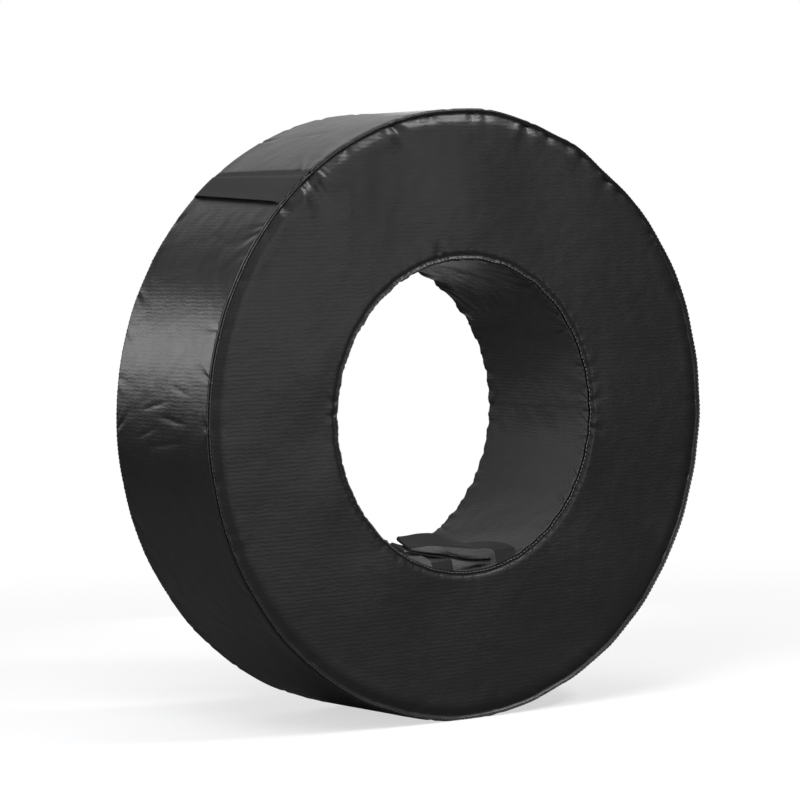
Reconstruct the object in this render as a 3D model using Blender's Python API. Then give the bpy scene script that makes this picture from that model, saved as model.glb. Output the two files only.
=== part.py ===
"""Tackling wheel: a laminated foam ring in a sewn vinyl cover, with a closure flap across its
tread and a folded webbing strap in its bore. Metres, +Z up. The wheel stands on its tread, its
centre is the origin, its axis is Y and its front face looks towards -Y."""

import math

import bmesh
import bpy
from mathutils import Matrix, Vector

# The wheel as a whole
overall_diameter = 0.914
bore_diameter = 0.464
cover_width = 0.258
segments = 60
clearance = 0.0003

# The foam core
slab_count = 5

# The cover. A seam's drop is how far it is drawn in below the tread or the lining, its setback
# how far behind the face, and a roll is how wide a panel curves before it lies flat.
vinyl_thickness = 0.001
lining_thickness = 0.0008
seam_allowance = 0.007
outer_seam_drop = 0.005
outer_seam_setback = 0.003
outer_roll = 0.014
bore_seam_drop = 0.0035
bore_seam_setback = 0.0025
bore_roll = 0.010

# The closure across the tread, with its upper edge at this angle from +X towards +Z. The flap's
# root lies level with the tread, steps over the tread's lower end and ramps up onto the tapes.
closure_angle = 126.3
flap_width = 0.064
flap_thickness = 0.001
flap_root = 0.008
flap_step = 0.003
flap_ramp = 0.007
flap_end_margin = 0.001
tape_thickness = 0.0011
tape_side_margin = 0.003
tape_end_margin = 0.010

# The carry strap. It is sewn into the front bore seam at two angles from the lowest point, and
# folds over its sewn ends on one straight line, which lies this far above each and behind the face.
strap_width = 0.038
strap_thickness = 0.0016
least_strap_gap = 0.0004
left_end_angle = -11.9
right_end_angle = 17.6
left_fold_rise = 0.0125
right_fold_rise = 0.0150
fold_depth = 0.0074

# From the left fold the strap twists flat, runs to and fro between its turns and twists back into
# the right fold. Turns are distances along the lining from its lowest line, plus to the right.
left_twist_run = 0.018
right_twist_run = 0.024
strap_turns = (-0.131, 0.048, -0.130)
strap_step = 0.012
turn_points = 3
twist_points = 3

# Its passes, the lowest first: the front edge's depth behind the face, that edge's heights above
# the lining at even steps, then in degrees how the width rises towards the back at the start, the
# middle and the end, and how far the back edge leans to the right at the start and the end.
strap_passes = [
    (0.0120, (0.0130, 0.0108, 0.0088, 0.0070, 0.0058), (7, 9, 11), (-1, -7)),
    (0.0120, (0.0100, 0.0178, 0.0202, 0.0120, 0.0038), (12, 11, 3), (-7, 1)),
    (0.0132, (0.0080, 0.0163, 0.0262, 0.0274, 0.0180), (5, 15, 17), (1, -10)),
    (0.0140, (0.0225, 0.0333, 0.0349, 0.0336, 0.0273), (18, 24, 11), (-11, 4)),
]

# Worked out from the sizes above
outer_radius = overall_diameter / 2
bore_radius = bore_diameter / 2
half_width = cover_width / 2
facet_angle = 360 / segments
facet_flat = math.cos(math.radians(facet_angle / 2))
outer_seam = Vector((outer_radius - outer_seam_drop, -half_width + outer_seam_setback))
bore_seam = Vector((bore_radius + bore_seam_drop, -half_width + bore_seam_setback))
flap_lift = 3 * clearance + 2 * tape_thickness
flap_length = cover_width - 2 * (outer_roll + flap_end_margin)
tape_length = flap_length - 2 * tape_end_margin


def clear_scene():
    """Remove what the file holds, so that the model stands alone."""
    for old in list(bpy.data.objects):
        bpy.data.objects.remove(old)


def make_material(name, colour, roughness):
    """A plain finish for one kind of sub-part."""
    material = bpy.data.materials.new(name)
    material.use_nodes = True
    shader = material.node_tree.nodes["Principled BSDF"]
    shader.inputs["Base Color"].default_value = (*colour, 1)
    shader.inputs["Roughness"].default_value = roughness
    shader.inputs["Metallic"].default_value = 0
    return material


def add_solid(name, points, faces, material):
    """One closed solid, with its faces turned outwards and its round stretches smooth."""
    mesh = bpy.data.meshes.new(name)
    mesh.from_pydata(points, [], faces)
    work = bmesh.new()
    work.from_mesh(mesh)
    bmesh.ops.recalc_face_normals(work, faces=work.faces)
    work.to_mesh(mesh)
    work.free()
    mesh.shade_smooth()
    mesh.set_sharp_from_angle(angle=math.radians(30))
    mesh.materials.append(material)
    solid = bpy.data.objects.new(name, mesh)
    bpy.context.collection.objects.link(solid)
    return solid


def hang_on_pivot(name, place, solids):
    """An empty on a joint's axis that carries the joint's solids."""
    pivot = bpy.data.objects.new(name, None)
    bpy.context.collection.objects.link(pivot)
    pivot.location = place
    for solid in solids:
        solid.data.transform(Matrix.Translation(-place))
        solid.parent = pivot
    return pivot


def arc_degrees(length):
    """The angle that a length along the tread covers."""
    return math.degrees(length / outer_radius)


def ring_point(radius, angle, y):
    """A point of the faceted ring whose facet edges have this radius. Facets lie flat at the
    bottom, the top and both sides, so the wheel rests on one of them."""
    middle = round(angle / facet_angle) * facet_angle
    reach = radius * facet_flat / math.cos(math.radians(angle - middle))
    turn = math.radians(angle)
    return Vector((reach * math.cos(turn), y, reach * math.sin(turn)))


def facet_edges(start, end):
    """The angles of the facet edges that lie between two angles."""
    first = math.ceil(start / facet_angle - 0.5 + 1e-9)
    last = math.floor(end / facet_angle - 0.5 - 1e-9)
    return [(number + 0.5) * facet_angle for number in range(first, last + 1)]


def join_sections(sections, closed):
    """The faces that join a row of like sections, with end caps where the row is open."""
    rows = len(sections)
    count = len(sections[0])
    points = [point for section in sections for point in section]
    faces = []
    for row in range(rows if closed else rows - 1):
        near = row * count
        far = (row + 1) % rows * count
        for at in range(count):
            beside = (at + 1) % count
            faces.append((near + at, near + beside, far + beside, far + at))
    if not closed:
        faces.append(tuple(range(count)))
        faces.append(tuple(range((rows - 1) * count, rows * count)))
    return points, faces


def turn_profile(name, profile, material, start=None, end=None):
    """Turn a profile of (radius, y) points about the axis, all the way or between two angles."""
    closed = start is None
    if closed:
        angles = facet_edges(0, 360)
    else:
        angles = [start] + facet_edges(start, end) + [end]
    sections = [[ring_point(r, angle, y) for r, y in profile] for angle in angles]
    points, faces = join_sections(sections, closed)
    return add_solid(name, points, faces, material)


def offset_line(line, distance):
    """A line moved sideways by a distance, to the left where positive, with mitred corners."""
    directions = [(b - a).normalized() for a, b in zip(line, line[1:])]
    before = directions[:1] + directions
    after = directions + directions[-1:]
    moved = []
    for point, one, two in zip(line, before, after):
        side_one = Vector((-one.y, one.x))
        side_two = Vector((-two.y, two.x))
        middle = (side_one + side_two).normalized()
        moved.append(point + middle * (distance / middle.dot(side_two)))
    return moved


def bent_line(start, corner, end, share):
    """A point of the smooth line that leaves start for a corner and comes from there to end."""
    return start.lerp(corner, share).lerp(corner.lerp(end, share), share)


def panel_edge(seam, flat, outwards, along_axis):
    """A front panel's edge, from its allowance inside the cover, over the sewn line and round
    to where it lies flat. Outwards is 1 at the outer seam and -1 at the bore's. The panel runs
    on along the axis, or else along the face."""
    inward = Vector((-outwards, 1)).normalized()
    side = Vector((outwards, 1)).normalized() * (1 if along_axis else -1)
    sewn = seam + side * (clearance / 2)
    corner = Vector((flat.x, sewn.y)) if along_axis else Vector((sewn.x, flat.y))
    return [sewn + inward * seam_allowance, sewn, bent_line(sewn, corner, flat, 1 / 2), flat]


def mirrored(line):
    """A front line at the back of the wheel, run the other way."""
    return [Vector((point.x, -point.y)) for point in reversed(line)]


def panel_profile(line, thickness):
    """A panel's closed profile: its outer surface and the inner one beneath it."""
    return line + offset_line(line, thickness)[::-1]


def make_tread(material):
    """The band round the outside. Its ends meet under the closure flap."""
    flat = Vector((outer_radius, -half_width + outer_roll))
    edge = panel_edge(outer_seam, flat, 1, True)
    profile = panel_profile(edge + mirrored(edge), vinyl_thickness)
    upper_end = closure_angle - arc_degrees(clearance / 2)
    lower_end = closure_angle + arc_degrees(flap_root + flap_step)
    turn_profile("tread_panel", profile, material, lower_end - 360, upper_end)


def make_lining(material):
    """The band inside the bore."""
    flat = Vector((bore_radius, -half_width + bore_roll))
    edge = panel_edge(bore_seam, flat, -1, True)
    profile = panel_profile(edge + mirrored(edge), -lining_thickness)
    turn_profile("bore_lining", profile, material)


def make_faces(material):
    """The two flat rings, the back one mirrored from the front one."""
    outer_flat = Vector((outer_radius - outer_roll, -half_width))
    bore_flat = Vector((bore_radius + bore_roll, -half_width))
    outer_edge = panel_edge(outer_seam, outer_flat, 1, False)
    bore_edge = panel_edge(bore_seam, bore_flat, -1, False)
    front = panel_profile(outer_edge + bore_edge[::-1], -vinyl_thickness)
    turn_profile("front_face_panel", front, material)
    turn_profile("back_face_panel", mirrored(front), material)


def core_ease(seam, core_radius, core_half, outwards):
    """How far a core edge is cut back so that the seam allowances fit beside it."""
    reach = (seam_allowance + clearance) * math.sqrt(2)
    return reach + outwards * (core_radius - seam.x) + core_half + seam.y


def slab_profile(low, high, inner, outer, front_eases, back_eases):
    """One slab's section, with its corners cut back by the eases of the inner and outer edge."""
    front_inner, front_outer = front_eases
    back_inner, back_outer = back_eases
    corners = [
        Vector((inner, low + front_inner)),
        Vector((inner, high - back_inner)),
        Vector((inner + back_inner, high)),
        Vector((outer - back_outer, high)),
        Vector((outer, high - back_outer)),
        Vector((outer, low + front_outer)),
        Vector((outer - front_outer, low)),
        Vector((inner + front_inner, low)),
    ]
    return [p for at, p in enumerate(corners) if (p - corners[at - 1]).length > clearance]


def make_core(material):
    """The foam slabs, glued face to face. The two end ones are eased under the seams."""
    inner = bore_radius + lining_thickness + clearance
    outer = outer_radius - vinyl_thickness - clearance
    core_half = half_width - vinyl_thickness - clearance
    eased = (
        core_ease(bore_seam, inner, core_half, -1),
        core_ease(outer_seam, outer, core_half, 1),
    )
    square = (0, 0)
    pitch = (2 * core_half + clearance) / slab_count
    for number in range(slab_count):
        low = -core_half + number * pitch
        front_eases = eased if number == 0 else square
        back_eases = eased if number == slab_count - 1 else square
        profile = slab_profile(
            low, low + pitch - clearance, inner, outer, front_eases, back_eases
        )
        turn_profile(f"foam_slab_{number + 1}", profile, material)


def lift_at(stations, distance):
    """The height above the tread at a distance down the closure, between its stations."""
    for (from_s, from_lift), (to_s, to_lift) in zip(stations, stations[1:]):
        if distance <= to_s:
            share = (distance - from_s) / (to_s - from_s)
            return from_lift + share * (to_lift - from_lift)
    return stations[-1][1]


def make_strip(name, stations, thickness, length, material):
    """A flat strip across the tread. Its stations are distances down from the closure's upper
    edge, each with the height of its underside above the tread."""
    start = closure_angle + arc_degrees(stations[0][0])
    end = closure_angle + arc_degrees(stations[-1][0])
    angles = {closure_angle + arc_degrees(s) for s, _ in stations}
    angles |= set(facet_edges(start, end))
    under = []
    over = []
    for angle in sorted(angles):
        distance = math.radians(angle - closure_angle) * outer_radius
        radius = outer_radius + lift_at(stations, distance)
        under.append(ring_point(radius, angle, 0))
        over.append(ring_point(radius + thickness, angle, 0))
    outline = under + over[::-1]
    half = Vector((0, length / 2, 0))
    points, faces = join_sections(
        [[p - half for p in outline], [p + half for p in outline]], False
    )
    return add_solid(name, points, faces, material)


def make_closure(flap_material, tape_material):
    """The flap, the hook tape sewn under it and the loop tape sewn on the tread below."""
    step_end = flap_root + flap_step
    ramp_end = step_end + flap_ramp
    flap = make_strip(
        "closure_flap",
        [
            (clearance / 2, -flap_thickness),
            (flap_root, -flap_thickness),
            (step_end, clearance),
            (ramp_end, flap_lift),
            (flap_width, flap_lift),
        ],
        flap_thickness,
        flap_length,
        flap_material,
    )
    tape_start = ramp_end + tape_side_margin
    tape_end = flap_width - tape_side_margin
    loop_lift = clearance
    hook_lift = 2 * clearance + tape_thickness
    strips = []
    for name, lift in (("loop_tape", loop_lift), ("hook_tape", hook_lift)):
        stations = [(tape_start, lift), (tape_end, lift)]
        strips.append(make_strip(name, stations, tape_thickness, tape_length, tape_material))
    hook_tape = strips[1]
    pivot = ring_point(outer_radius, closure_angle, 0)
    return hang_on_pivot("flap_hinge", pivot, [flap, hook_tape])


def value_at(values, share):
    """What a smooth curve through evenly spaced values reads at a share of its length."""
    place = share * (len(values) - 1)
    at = min(int(place), len(values) - 2)
    t = place - at
    b, c = values[at : at + 2]
    a = values[at - 1] if at > 0 else 2 * b - c
    d = values[at + 2] if at + 2 < len(values) else 2 * c - b
    bend = (2 * a - 5 * b + 4 * c - d) * t**2 + (3 * b - 3 * c + d - a) * t**3
    return b + ((c - a) * t + bend) / 2


def bore_directions(along):
    """To the right along the lining and inwards from it, at a distance from its lowest line."""
    turn = along / bore_radius
    right = Vector((math.cos(turn), 0, math.sin(turn)))
    return right, Vector((-right.z, 0, right.x))


def bore_point(along, depth, height):
    """A point at a distance along the lining, a depth behind the front face and a height."""
    inwards = bore_directions(along)[1]
    reach = bore_radius * facet_flat - height
    return Vector((0, depth - half_width, 0)) - inwards * reach


def lying_station(along, depth, height, rise, lean):
    """The middle of the strap and its width's direction, front to back, where it lies flat."""
    right, inwards = bore_directions(along)
    rise, lean = math.radians(rise), math.radians(lean)
    level = right * math.sin(lean) + Vector((0, math.cos(lean), 0))
    width = level * math.cos(rise) + inwards * math.sin(rise)
    return bore_point(along, depth, height) + width * (strap_width / 2), width


def pass_stations(start, end, layout):
    """One pass of the strap along the lining, between two distances along it."""
    depth, heights, rises, leans = layout
    count = math.ceil(abs(end - start) / strap_step)
    stations = []
    for share in (number / count for number in range(count + 1)):
        along = start + share * (end - start)
        values = [value_at(row, share) for row in (heights, rises, leans)]
        stations.append(lying_station(along, depth, *values))
    return stations


def turn_stations(one, two, outwards):
    """The half turn from the end of one pass to the start of the next one above it."""
    centre = (one[0] + two[0]) / 2
    arm = one[0] - centre
    stations = []
    for share in (number / (turn_points + 1) for number in range(1, turn_points + 1)):
        turn = math.pi * share
        round_it = arm * math.cos(turn) + outwards * (arm.length * math.sin(turn))
        stations.append((centre + round_it, one[1].lerp(two[1], share).normalized()))
    return stations


def twist_stations(fold, flat, right):
    """The quarter twist from a fold line to where the strap lies flat beside it."""
    half = strap_width / 2
    fold_front = fold[0] - fold[1] * half
    flat_front = flat[0] - flat[1] * half
    corner = flat_front + right * (fold_front - flat_front).dot(right)
    stations = []
    for share in (number / (twist_points + 1) for number in range(1, twist_points + 1)):
        heading = math.pi / 2 * math.cos(math.pi / 2 * share)
        width = (fold[1] * math.sin(heading) + flat[1] * math.cos(heading)).normalized()
        front = bent_line(fold_front, corner, flat_front, share)
        stations.append((front + width * half, width))
    return stations


def fold_stations():
    """The strap on its fold line, above its left sewn end and above its right one."""
    middles = []
    for angle, rise in (
        (left_end_angle, left_fold_rise),
        (right_end_angle, right_fold_rise),
    ):
        sewn = sewn_station(angle)[0]
        middles.append(Vector((sewn.x, fold_depth - half_width, sewn.z + rise)))
    width = (middles[1] - middles[0]).normalized()
    return [(middle, width) for middle in middles]


def strap_stations():
    """The whole folded strap, from its left fold to its right one."""
    left, right = fold_stations()
    fronts = [middle - width * (strap_width / 2) for middle, width in (left, right)]
    alongs = [bore_radius * math.atan2(front.x, -front.z) for front in fronts]
    start = alongs[0] - left_twist_run
    end = alongs[1] - right_twist_run
    turns = (start,) + strap_turns + (end,)
    passes = [
        pass_stations(turns[at], turns[at + 1], layout)
        for at, layout in enumerate(strap_passes)
    ]
    stations = [left] + twist_stations(left, passes[0][0], bore_directions(start)[0])
    for at, lying in enumerate(passes):
        if at > 0:
            onwards = math.copysign(1, turns[at] - turns[at - 1])
            outwards = bore_directions(turns[at])[0] * onwards
            stations += turn_stations(stations[-1], lying[0], outwards)
        stations += lying
    last_twist = twist_stations(right, stations[-1], bore_directions(end)[0])
    return stations + last_twist[::-1] + [right]


def make_ribbon(name, stations, material, first_way=None, last_way=None):
    """Webbing along its stations. Its ends are cut square to the ways given for them."""
    sections = []
    for at, (middle, width) in enumerate(stations):
        behind = stations[max(at - 1, 0)][0]
        ahead = stations[min(at + 1, len(stations) - 1)][0]
        way = ahead - behind
        if at == 0 and first_way:
            way = first_way
        if at == len(stations) - 1 and last_way:
            way = last_way
        side = width * (strap_width / 2)
        face = way.cross(width).normalized() * (strap_thickness / 2)
        sections.append(
            [middle - side - face, middle + side - face, middle + side + face, middle - side + face]
        )
    points, faces = join_sections(sections, False)
    return add_solid(name, points, faces, material)


def sewn_station(angle):
    """Where a strap end comes out of the front bore seam, at an angle from the bottom."""
    reach = bore_seam.x * facet_flat - clearance
    middle_reach = math.sqrt(reach**2 - (strap_width / 2) ** 2)
    turn = math.radians(angle)
    y = bore_seam.y - clearance - strap_thickness / 2
    width = Vector((math.cos(turn), 0, math.sin(turn)))
    return Vector((middle_reach * width.z, y, -middle_reach * width.x)), width


def make_strap_end(name, angle, top, material):
    """The short standing end between the seam and the strap's fold line, and its way up."""
    bottom = sewn_station(angle)
    way = (top[0] - bottom[0]).normalized()
    cut = (top[0] - way * clearance, top[1])
    make_ribbon(name, [bottom, cut], material)
    return way


def fold_point(station, way):
    """A point of the fold line, on the front surface of the webbing above a sewn end."""
    middle, width = station
    return middle - way.cross(width).normalized() * (strap_thickness / 2)


def least_gap(stations):
    """The least gap between the strap's layers, measured on points across its width."""
    across = (-0.5, -0.25, 0, 0.25, 0.5)
    rows = [[m + w * (strap_width * share) for share in across] for m, w in stations]
    along = [0.0]
    for (one, _), (two, _) in zip(stations, stations[1:]):
        along.append(along[-1] + (two - one).length)
    apart = 8 * strap_thickness
    least = math.inf
    for at, row in enumerate(rows):
        for other in range(at + 1, len(rows)):
            if along[other] - along[at] < apart:
                continue
            for one in row:
                for two in rows[other]:
                    least = min(least, (one - two).length)
    return least - strap_thickness


def make_strap(material):
    """The folded strap on its fold line, and its two sewn ends."""
    stations = strap_stations()
    left_way = make_strap_end("strap_end_left", left_end_angle, stations[0], material)
    right_way = make_strap_end("strap_end_right", right_end_angle, stations[-1], material)
    strap = make_ribbon("carry_strap", stations, material, left_way, -right_way)
    gap = least_gap(stations)
    print(f"least gap between the strap's layers: {gap * 1000:.2f} mm")
    if gap < least_strap_gap:
        print("the strap's layers lie too close")
    fold_left = fold_point(stations[0], left_way)
    fold_right = fold_point(stations[-1], right_way)
    return hang_on_pivot("strap_fold", (fold_left + fold_right) / 2, [strap])


def build_wheel():
    """Every sub-part, each with its own finish."""
    clear_scene()
    make_core(make_material("foam", (0.82, 0.82, 0.80), 0.9))
    make_faces(make_material("ribbed_vinyl", (0.022, 0.022, 0.024), 0.55))
    make_tread(make_material("gloss_vinyl", (0.022, 0.022, 0.024), 0.35))
    make_lining(make_material("lining_vinyl", (0.025, 0.025, 0.027), 0.5))
    make_closure(
        make_material("flap_webbing", (0.03, 0.03, 0.032), 0.8),
        make_material("closure_tape", (0.02, 0.02, 0.02), 0.95),
    )
    make_strap(make_material("strap_webbing", (0.025, 0.025, 0.026), 0.7))


build_wheel()
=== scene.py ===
"""The tackling wheel's looks: a sewn vinyl cover over a foam ring, its seams and stitches, the
closure flap on its tread and the folded strap in its bore. Metres, with the wheel's centre as the
origin, its axis along Y, its front face towards -Y and +Z up. Angles run from +X towards +Z."""

import math

import bmesh
import bpy
import numpy as np
from mathutils import Matrix, Vector


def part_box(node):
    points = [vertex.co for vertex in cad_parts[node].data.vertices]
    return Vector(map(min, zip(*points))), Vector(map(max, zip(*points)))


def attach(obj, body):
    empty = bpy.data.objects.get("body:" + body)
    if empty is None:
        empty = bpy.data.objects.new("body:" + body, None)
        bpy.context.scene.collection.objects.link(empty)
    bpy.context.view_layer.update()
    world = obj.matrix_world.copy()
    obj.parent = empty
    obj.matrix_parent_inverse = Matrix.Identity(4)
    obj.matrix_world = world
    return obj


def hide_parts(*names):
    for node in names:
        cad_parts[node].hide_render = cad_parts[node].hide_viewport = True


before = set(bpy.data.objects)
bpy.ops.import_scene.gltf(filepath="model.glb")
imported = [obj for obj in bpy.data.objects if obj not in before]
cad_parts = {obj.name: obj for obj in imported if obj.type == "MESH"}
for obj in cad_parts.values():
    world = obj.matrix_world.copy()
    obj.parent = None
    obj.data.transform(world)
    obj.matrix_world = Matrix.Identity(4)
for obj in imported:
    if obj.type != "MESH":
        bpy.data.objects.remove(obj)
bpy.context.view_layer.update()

# The wheel
outer_radius = 0.457
bore_radius = 0.232
half_width = 0.129
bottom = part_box("tread_panel")[0].z
vinyl_thickness = 0.0009

# How finely the panels are modelled, with fine steps near their edges
outer_sections = 1200
bore_sections = 900
fine_step = 0.0008
coarse_step = 0.0065
fine_reach = 0.022
coarse_reach = 0.050
under_points = 26
bend_points = 16

# The seams, as (radius, distance from the middle plane), and the panels' turned-in edges
outer_seam = (0.4532, 0.1258)
bore_seam = (0.2352, 0.1262)
seam_allowance = 0.006
layer_gap = 0.0003

# The (radius, y) corners that each front panel's edge bends round on its way from its seam
tread_edge = [(0.4574, -0.1250), (0.4574, -0.1190), (0.4570, -0.1080)]
face_rim_edge = [
    (0.4556, -0.1300),
    (0.4506, -0.1238),
    (0.4440, -0.1262),
    (0.4350, -0.1294),
    (0.4220, -0.1290),
]
face_bore_edge = [
    (0.2348, -0.1294),
    (0.2392, -0.1262),
    (0.2440, -0.1290),
    (0.2510, -0.1291),
    (0.2580, -0.1290),
]
lining_edge = [(0.2316, -0.1262), (0.2322, -0.1200), (0.2320, -0.1100)]

# The stitches, with rows as (radius, distance from the middle plane) and shape as (place, width)
stitch_pitch = 0.0066
stitch_length = 0.0046
thread_thickness = 0.0009
rim_row = (outer_seam[0] + 0.0014, outer_seam[1] + 0.0031)
bore_row = (bore_seam[0] + 0.0002, bore_seam[1] + 0.0027)
stitch_scatter = 0.00012
stitch_sides = 6
stitch_shape = [(-0.50, 0.2), (-0.44, 0.8), (-0.25, 1.0), (0.25, 1.0), (0.44, 0.8), (0.50, 0.2)]

# A fold's shape, as shares of its width and depth, with ridges as (place, share of their height)
fold_root = 0.45
fold_gain = 0.9
valley_power = 1.5
ridge_height = 0.45
fold_ridges = [(1.7, 1.0), (-1.9, 0.7)]

# Folds along a panel's edge, in groups: how many, widths, lengths, depths and slant
fold_sizes = {
    "face rim": [(44, (0.005, 0.011), (0.014, 0.036), (0.0004, 0.0014), 0.25)],
    "face bore": [(104, (0.003, 0.005), (0.012, 0.020), (0.0002, 0.0006), 0.25)],
    "tread": [(44, (0.005, 0.011), (0.012, 0.034), (0.0005, 0.0014), 0.50)],
    "lining": [
        (56, (0.0030, 0.0060), (0.010, 0.024), (0.0006, 0.0017), 0.45),
        (22, (0.0040, 0.0080), (0.024, 0.050), (0.0006, 0.0016), 0.70),
    ],
}

# How far random folds stray from even places, as a share of their spacing
fold_stray = 0.4

# Folds that the photograph shows: angle in degrees, width, length, depth and slant
front_rim_folds = [
    (135.5, 0.007, 0.020, 0.0022, -0.2),
    (129.2, 0.003, 0.030, 0.0009, 0.2),
    (127.6, 0.013, 0.046, 0.0038, 0.1),
    (126.4, 0.003, 0.034, 0.0010, 0.0),
    (124.8, 0.003, 0.034, 0.0010, -0.2),
    (117.0, 0.008, 0.022, 0.0014, 0.3),
    (106.5, 0.011, 0.038, 0.0034, -0.5),
    (96.5, 0.008, 0.020, 0.0022, 0.2),
    (87.0, 0.007, 0.020, 0.0020, 0.0),
    (74.0, 0.008, 0.026, 0.0026, -0.2),
    (68.0, 0.007, 0.020, 0.0018, 0.1),
    (59.0, 0.009, 0.024, 0.0022, 0.0),
    (51.0, 0.010, 0.028, 0.0026, 0.2),
    (36.0, 0.008, 0.018, 0.0014, 0.0),
]
front_bore_folds = [
    (2.0, 0.006, 0.022, 0.0015, 0.2),
    (-7.0, 0.006, 0.026, 0.0017, -0.2),
    (9.0, 0.005, 0.018, 0.0012, 0.0),
    (172.0, 0.006, 0.018, 0.0014, 0.0),
    (176.5, 0.005, 0.016, 0.0012, 0.2),
    (97.0, 0.006, 0.030, 0.0014, 0.5),
    (103.0, 0.005, 0.022, 0.0012, -0.4),
]
front_lining_folds = [
    (3.0, 0.004, 0.018, 0.0016, 0.4),
    (-6.0, 0.004, 0.022, 0.0020, 0.5),
    (-11.0, 0.004, 0.018, 0.0018, -0.4),
    (-27.0, 0.005, 0.026, 0.0022, 0.6),
    (-39.0, 0.006, 0.034, 0.0030, 0.7),
    (30.0, 0.005, 0.034, 0.0014, 0.7),
    (36.0, 0.005, 0.038, 0.0018, 0.8),
    (42.0, 0.005, 0.040, 0.0018, 0.8),
    (49.0, 0.006, 0.044, 0.0020, 0.9),
    (58.0, 0.006, 0.040, 0.0016, 0.9),
]
tread_edge_folds = [
    (129.3, 0.006, 0.050, 0.0024, -0.9),
    (133.5, 0.006, 0.030, 0.0016, -0.5),
    (142.0, 0.010, 0.040, 0.0014, 0.4),
]

# Slow swells of the panels: height, fewest and most waves round the wheel, how many, and slant
swell_sizes = {
    "face": (0.0009, 3, 12, 10, 14),
    "tread": (0.0005, 4, 18, 12, 10),
    "lining": (0.0008, 5, 22, 12, 18),
}

# How far from the seams each panel's swells and folds come to full height
swell_start = {"face": 0.050, "tread": 0.035, "lining": 0.030}
fold_start = {"face": 0.006, "tread": 0.004, "lining": 0.004}

# Where the rim is drawn in or stands out: angle, width in degrees and height
rim_waves = [
    (52.0, 6.5, -0.0026),
    (67.0, 3.5, -0.0015),
    (62.0, 2.5, 0.0006),
    (26.0, 8.0, 0.0022),
    (84.0, 9.0, 0.0016),
    (-14.0, 7.0, -0.0015),
    (-33.0, 4.5, -0.0007),
    (-48.0, 9.0, 0.0009),
    (-76.0, 7.0, -0.0004),
    (-92.0, 5.0, 0.0016),
]

# Small waves of the rim and of the bore's edges: fewest and most round the wheel, and size
rim_ripple = (14, 40, 0.00016)
front_bore_ripple = (22, 50, 0.00018)
back_bore_ripple = (26, 64, 0.00040)
ripple_count = 9

# How far these waves reach into each panel
face_rim_reach = 0.06
face_bore_reach = 0.02
tread_rim_reach = 0.05
lining_bore_reach = 0.03

# Creases in the tread: angle, distance from the middle plane, length, width, slant and depth
tread_creases = [
    (176.0, 0.020, 0.060, 0.0030, 0.210, 0.0008),
    (178.5, -0.030, 0.070, 0.0035, -0.140, 0.0009),
    (181.0, 0.040, 0.050, 0.0030, 0.315, 0.0007),
    (183.0, -0.010, 0.080, 0.0040, 0.105, 0.0008),
    (173.0, -0.050, 0.040, 0.0030, -0.280, 0.0007),
    (151.0, 0.030, 0.060, 0.0060, 0.280, 0.0007),
    (144.0, -0.040, 0.050, 0.0060, -0.420, 0.0008),
    (112.0, 0.010, 0.070, 0.0060, 0.245, 0.0006),
]

# The closure across the tread, whose upper end is turned down into the seam
closure_angle = 126.3
tread_end_gap = 0.011
closure_tuck = 0.0015
tuck_length = 0.005

# The flap and its tapes, which the skew widens towards the back, and how finely they are modelled
flap_width = 0.063
flap_root = 0.008
flap_step = 0.003
flap_ramp = 0.007
flap_thickness = 0.001
flap_length = 0.248
flap_skew = -1.1
flap_drop = 0.016
flap_drop_share = 0.9
flap_rise = 0.0012
flap_rise_start = 0.8 * flap_width
tape_thickness = 0.0011
tape_length = 0.208
tape_margin = 0.004
step_end = flap_root + flap_step
ramp_end = step_end + flap_ramp
tape_width = flap_width - ramp_end - 2 * tape_margin
strip_rows = 61
strip_columns = 81

# How far from the flap's middle the tread is smooth, and over what length its bumps come back
smooth_reach = 0.6 * flap_width
smooth_fade = 0.04

# The strap, sewn in and folded at its left and its right, and turned back between its passes
strap_width = 0.038
strap_thickness = 0.0015
edge_power = 16
edge_thickness = 0.2
sewn_angles = (-11.9, 17.6)
sewn_stand_off = 0.0011
fold_rises = (0.0125, 0.0150)
fold_depth = 0.0074
twist_runs = (0.018, 0.024)
strap_turns = (-0.117, 0.048, -0.111)
strap_step = 0.003
turn_points = 9
twist_points = 11
root_steps = 8
ribbon_points = 17

# The strap's passes, the lowest first: the front edge's depth and heights, then rises and leans
strap_passes = [
    (0.0120, (0.0110, 0.0080, 0.0055, 0.0035, 0.0022), (7, 9, 8), (-1, -4)),
    (0.0120, (0.0085, 0.0140, 0.0170, 0.0108, 0.0038), (13, 14, 12, 8, 3), (-4, 1)),
    (0.0132, (0.0080, 0.0150, 0.0218, 0.0190, 0.0118), (5, 12, 18, 18, 18), (1, -4)),
    (0.0140, (0.0150, 0.0290, 0.0338, 0.0324, 0.0268), (23, 26, 27, 18, 8), (-4, 4)),
]

# The foam core: how far inside the cover it ends, and how its corners and its planks' are eased
plank_count = 5
core_from_lining = 0.0036
core_inset = 0.0040
core_ease = 0.016
plank_ease = 0.0008
core_sections = 240

# Vinyls: grey level, roughness, gloss, rib pitch, rib height and dent depth
vinyl_looks = {
    "matte_vinyl": (0.0118, 0.38, 0.50, 0.0062, 0.00030, 0.0010),
    "gloss_vinyl": (0.0130, 0.34, 0.50, 0.0060, 0.00022, 0.0010),
    "thin_vinyl": (0.0300, 0.56, 0.46, 0.0056, 0.00060, 0.0026),
}

# The vinyls' patterns, as how many to a metre along and across
rib_wander_pattern = (60, 50)
rib_fade_pattern = (170, 170)
streak_pattern = (150, 270)
grain_pattern = (1100, 1500)

# How much each pattern counts in the vinyls' ribs, height, colour and gloss
rib_wander = 6.0
# The ribs' height paints shade into the vinyls' colour in their valleys, mixed with random tone from
# the clouds
height_shares = (0.24, 0.7)
rib_shade_and_tone_shares = (0.45, 0.5)
grain_depth = 0.00010
gloss_spread = 0.05

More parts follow.
